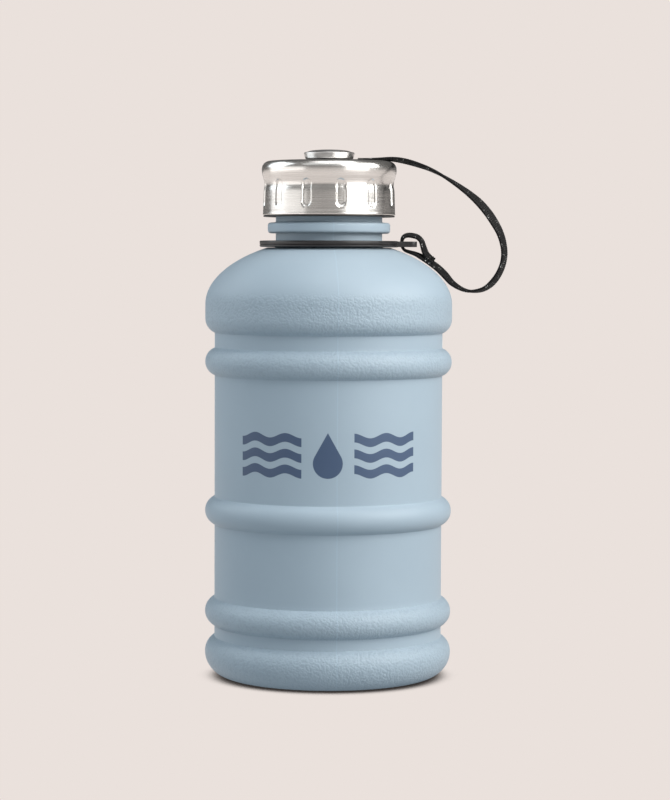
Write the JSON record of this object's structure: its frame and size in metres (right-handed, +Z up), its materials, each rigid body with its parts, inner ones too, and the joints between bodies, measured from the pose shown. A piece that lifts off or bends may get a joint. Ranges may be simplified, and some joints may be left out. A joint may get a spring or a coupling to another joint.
{
  "type": "water jug",
  "caption": "Large ribbed water jug with a moulded-in back grip, a screw cap that turns on a centre post, and a webbing tether from the post to a loose neck ring.",
  "frame": {"origin": "middle of the base, on the surface that the jug stands on", "axes": "+Z up along the neck's axis; the printed front faces -Y, the grip is at +Y and the tether's tab is at +X"},
  "size_m": [0.1591, 0.13, 0.2776],
  "materials": {
    "body_blue": "satin, grained on the shoulder band, two rings and the foot",
    "ring_black": "semi-gloss moulded",
    "cap_steel": "brushed round the axis",
    "insert_black": "moulded",
    "gasket_silicone": "matte",
    "bush_nylon": "matte",
    "seal_rubber": "matte",
    "button_steel": "turned",
    "webbing_black": "woven",
    "stitch_thread": "thread"
  },
  "bodies": {
    "bottle": {"bottle_body": "body_blue"},
    "post": {"cap_button": "button_steel", "back_washer": "button_steel", "clamp_screw": "button_steel"},
    "cap": {"cap_shell": "cap_steel", "cap_insert": "insert_black", "cap_gasket": "gasket_silicone", "swivel_bush": "bush_nylon", "post_seal": "seal_rubber"},
    "tether_ring": {"neck_ring": "ring_black", "tether_strap": "webbing_black", "strap_stitching": "stitch_thread"},
    "tether_eye": {"strap_eye": "webbing_black"}
  },
  "joints": [
    {"name": "cap_lift", "type": "slide", "parent": "bottle", "child": "post", "axis": [0, 0, 1], "range_m": [0, 0.03]},
    {"name": "cap_turn", "type": "hinge", "parent": "post", "child": "cap", "pos_m": [0, 0, 0.2714], "axis": [0, 0, 1], "range_deg": [0, 1080]},
    {"name": "ring_turn", "type": "hinge", "parent": "bottle", "child": "tether_ring", "pos_m": [0, 0, 0.228], "axis": [0, 0, 1], "continuous": true},
    {"name": "eye_lift", "type": "slide", "parent": "tether_ring", "child": "tether_eye", "axis": [0, 0, 1], "range_m": [0, 0.03], "deforming": ["tether_strap"]}
  ],
  "couplings": [
    {"joint": "cap_lift", "follows": "cap_turn", "m_per_rad": 0.0015915},
    {"joint": "eye_lift", "follows": "cap_turn", "m_per_rad": 0.0015915}
  ]
}
